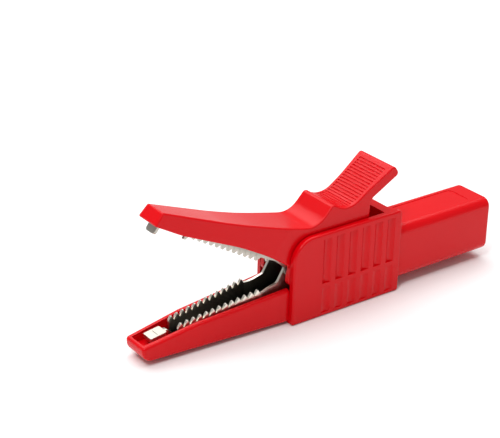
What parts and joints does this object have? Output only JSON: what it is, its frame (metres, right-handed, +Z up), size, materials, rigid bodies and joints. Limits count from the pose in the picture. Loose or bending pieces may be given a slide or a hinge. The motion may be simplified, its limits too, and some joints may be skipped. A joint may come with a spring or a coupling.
{
  "type": "insulated alligator test clip",
  "caption": "Insulated alligator test clip with toothed spring jaws, a ribbed thumb lever and a shrouded rear socket.",
  "frame": {"origin": "on the table under the middle of the clip's length, at the bottom centre of its box", "axes": "+X from the jaw nose to the socket mouth, +Y across the clip along the hinge, +Z up"},
  "size_m": [0.092, 0.013, 0.0325],
  "materials": {
    "red_body": "glossy moulded red plastic",
    "red_lever": "glossy moulded red plastic",
    "red_sleeve": "satin moulded red plastic",
    "nickel_sheet": "nickel-plated stamped sheet",
    "nickel_brass": "nickel-plated turned brass",
    "pin_steel": "plain steel",
    "spring_steel": "spring wire",
    "screw_steel": "zinc-plated steel"
  },
  "bodies": {
    "body": {"body_housing": "red_body", "lower_jaw": "nickel_sheet", "pivot_pin": "pin_steel", "torsion_spring": "spring_steel", "socket_contact": "nickel_brass", "contact_sleeve": "red_sleeve", "contact_screw": "screw_steel"},
    "lever": {"lever": "red_lever", "upper_jaw": "nickel_sheet"}
  },
  "joints": [
    {"name": "lever_hinge", "type": "hinge", "parent": "body", "child": "lever", "pos_m": [-0.007, 0, 0.0122], "axis": [0, 1, 0], "range_deg": [-37.8, 8.2], "stiffness_Nm_per_rad": 0.15, "springref_deg": -114.59, "deforming": ["torsion_spring"]}
  ]
}
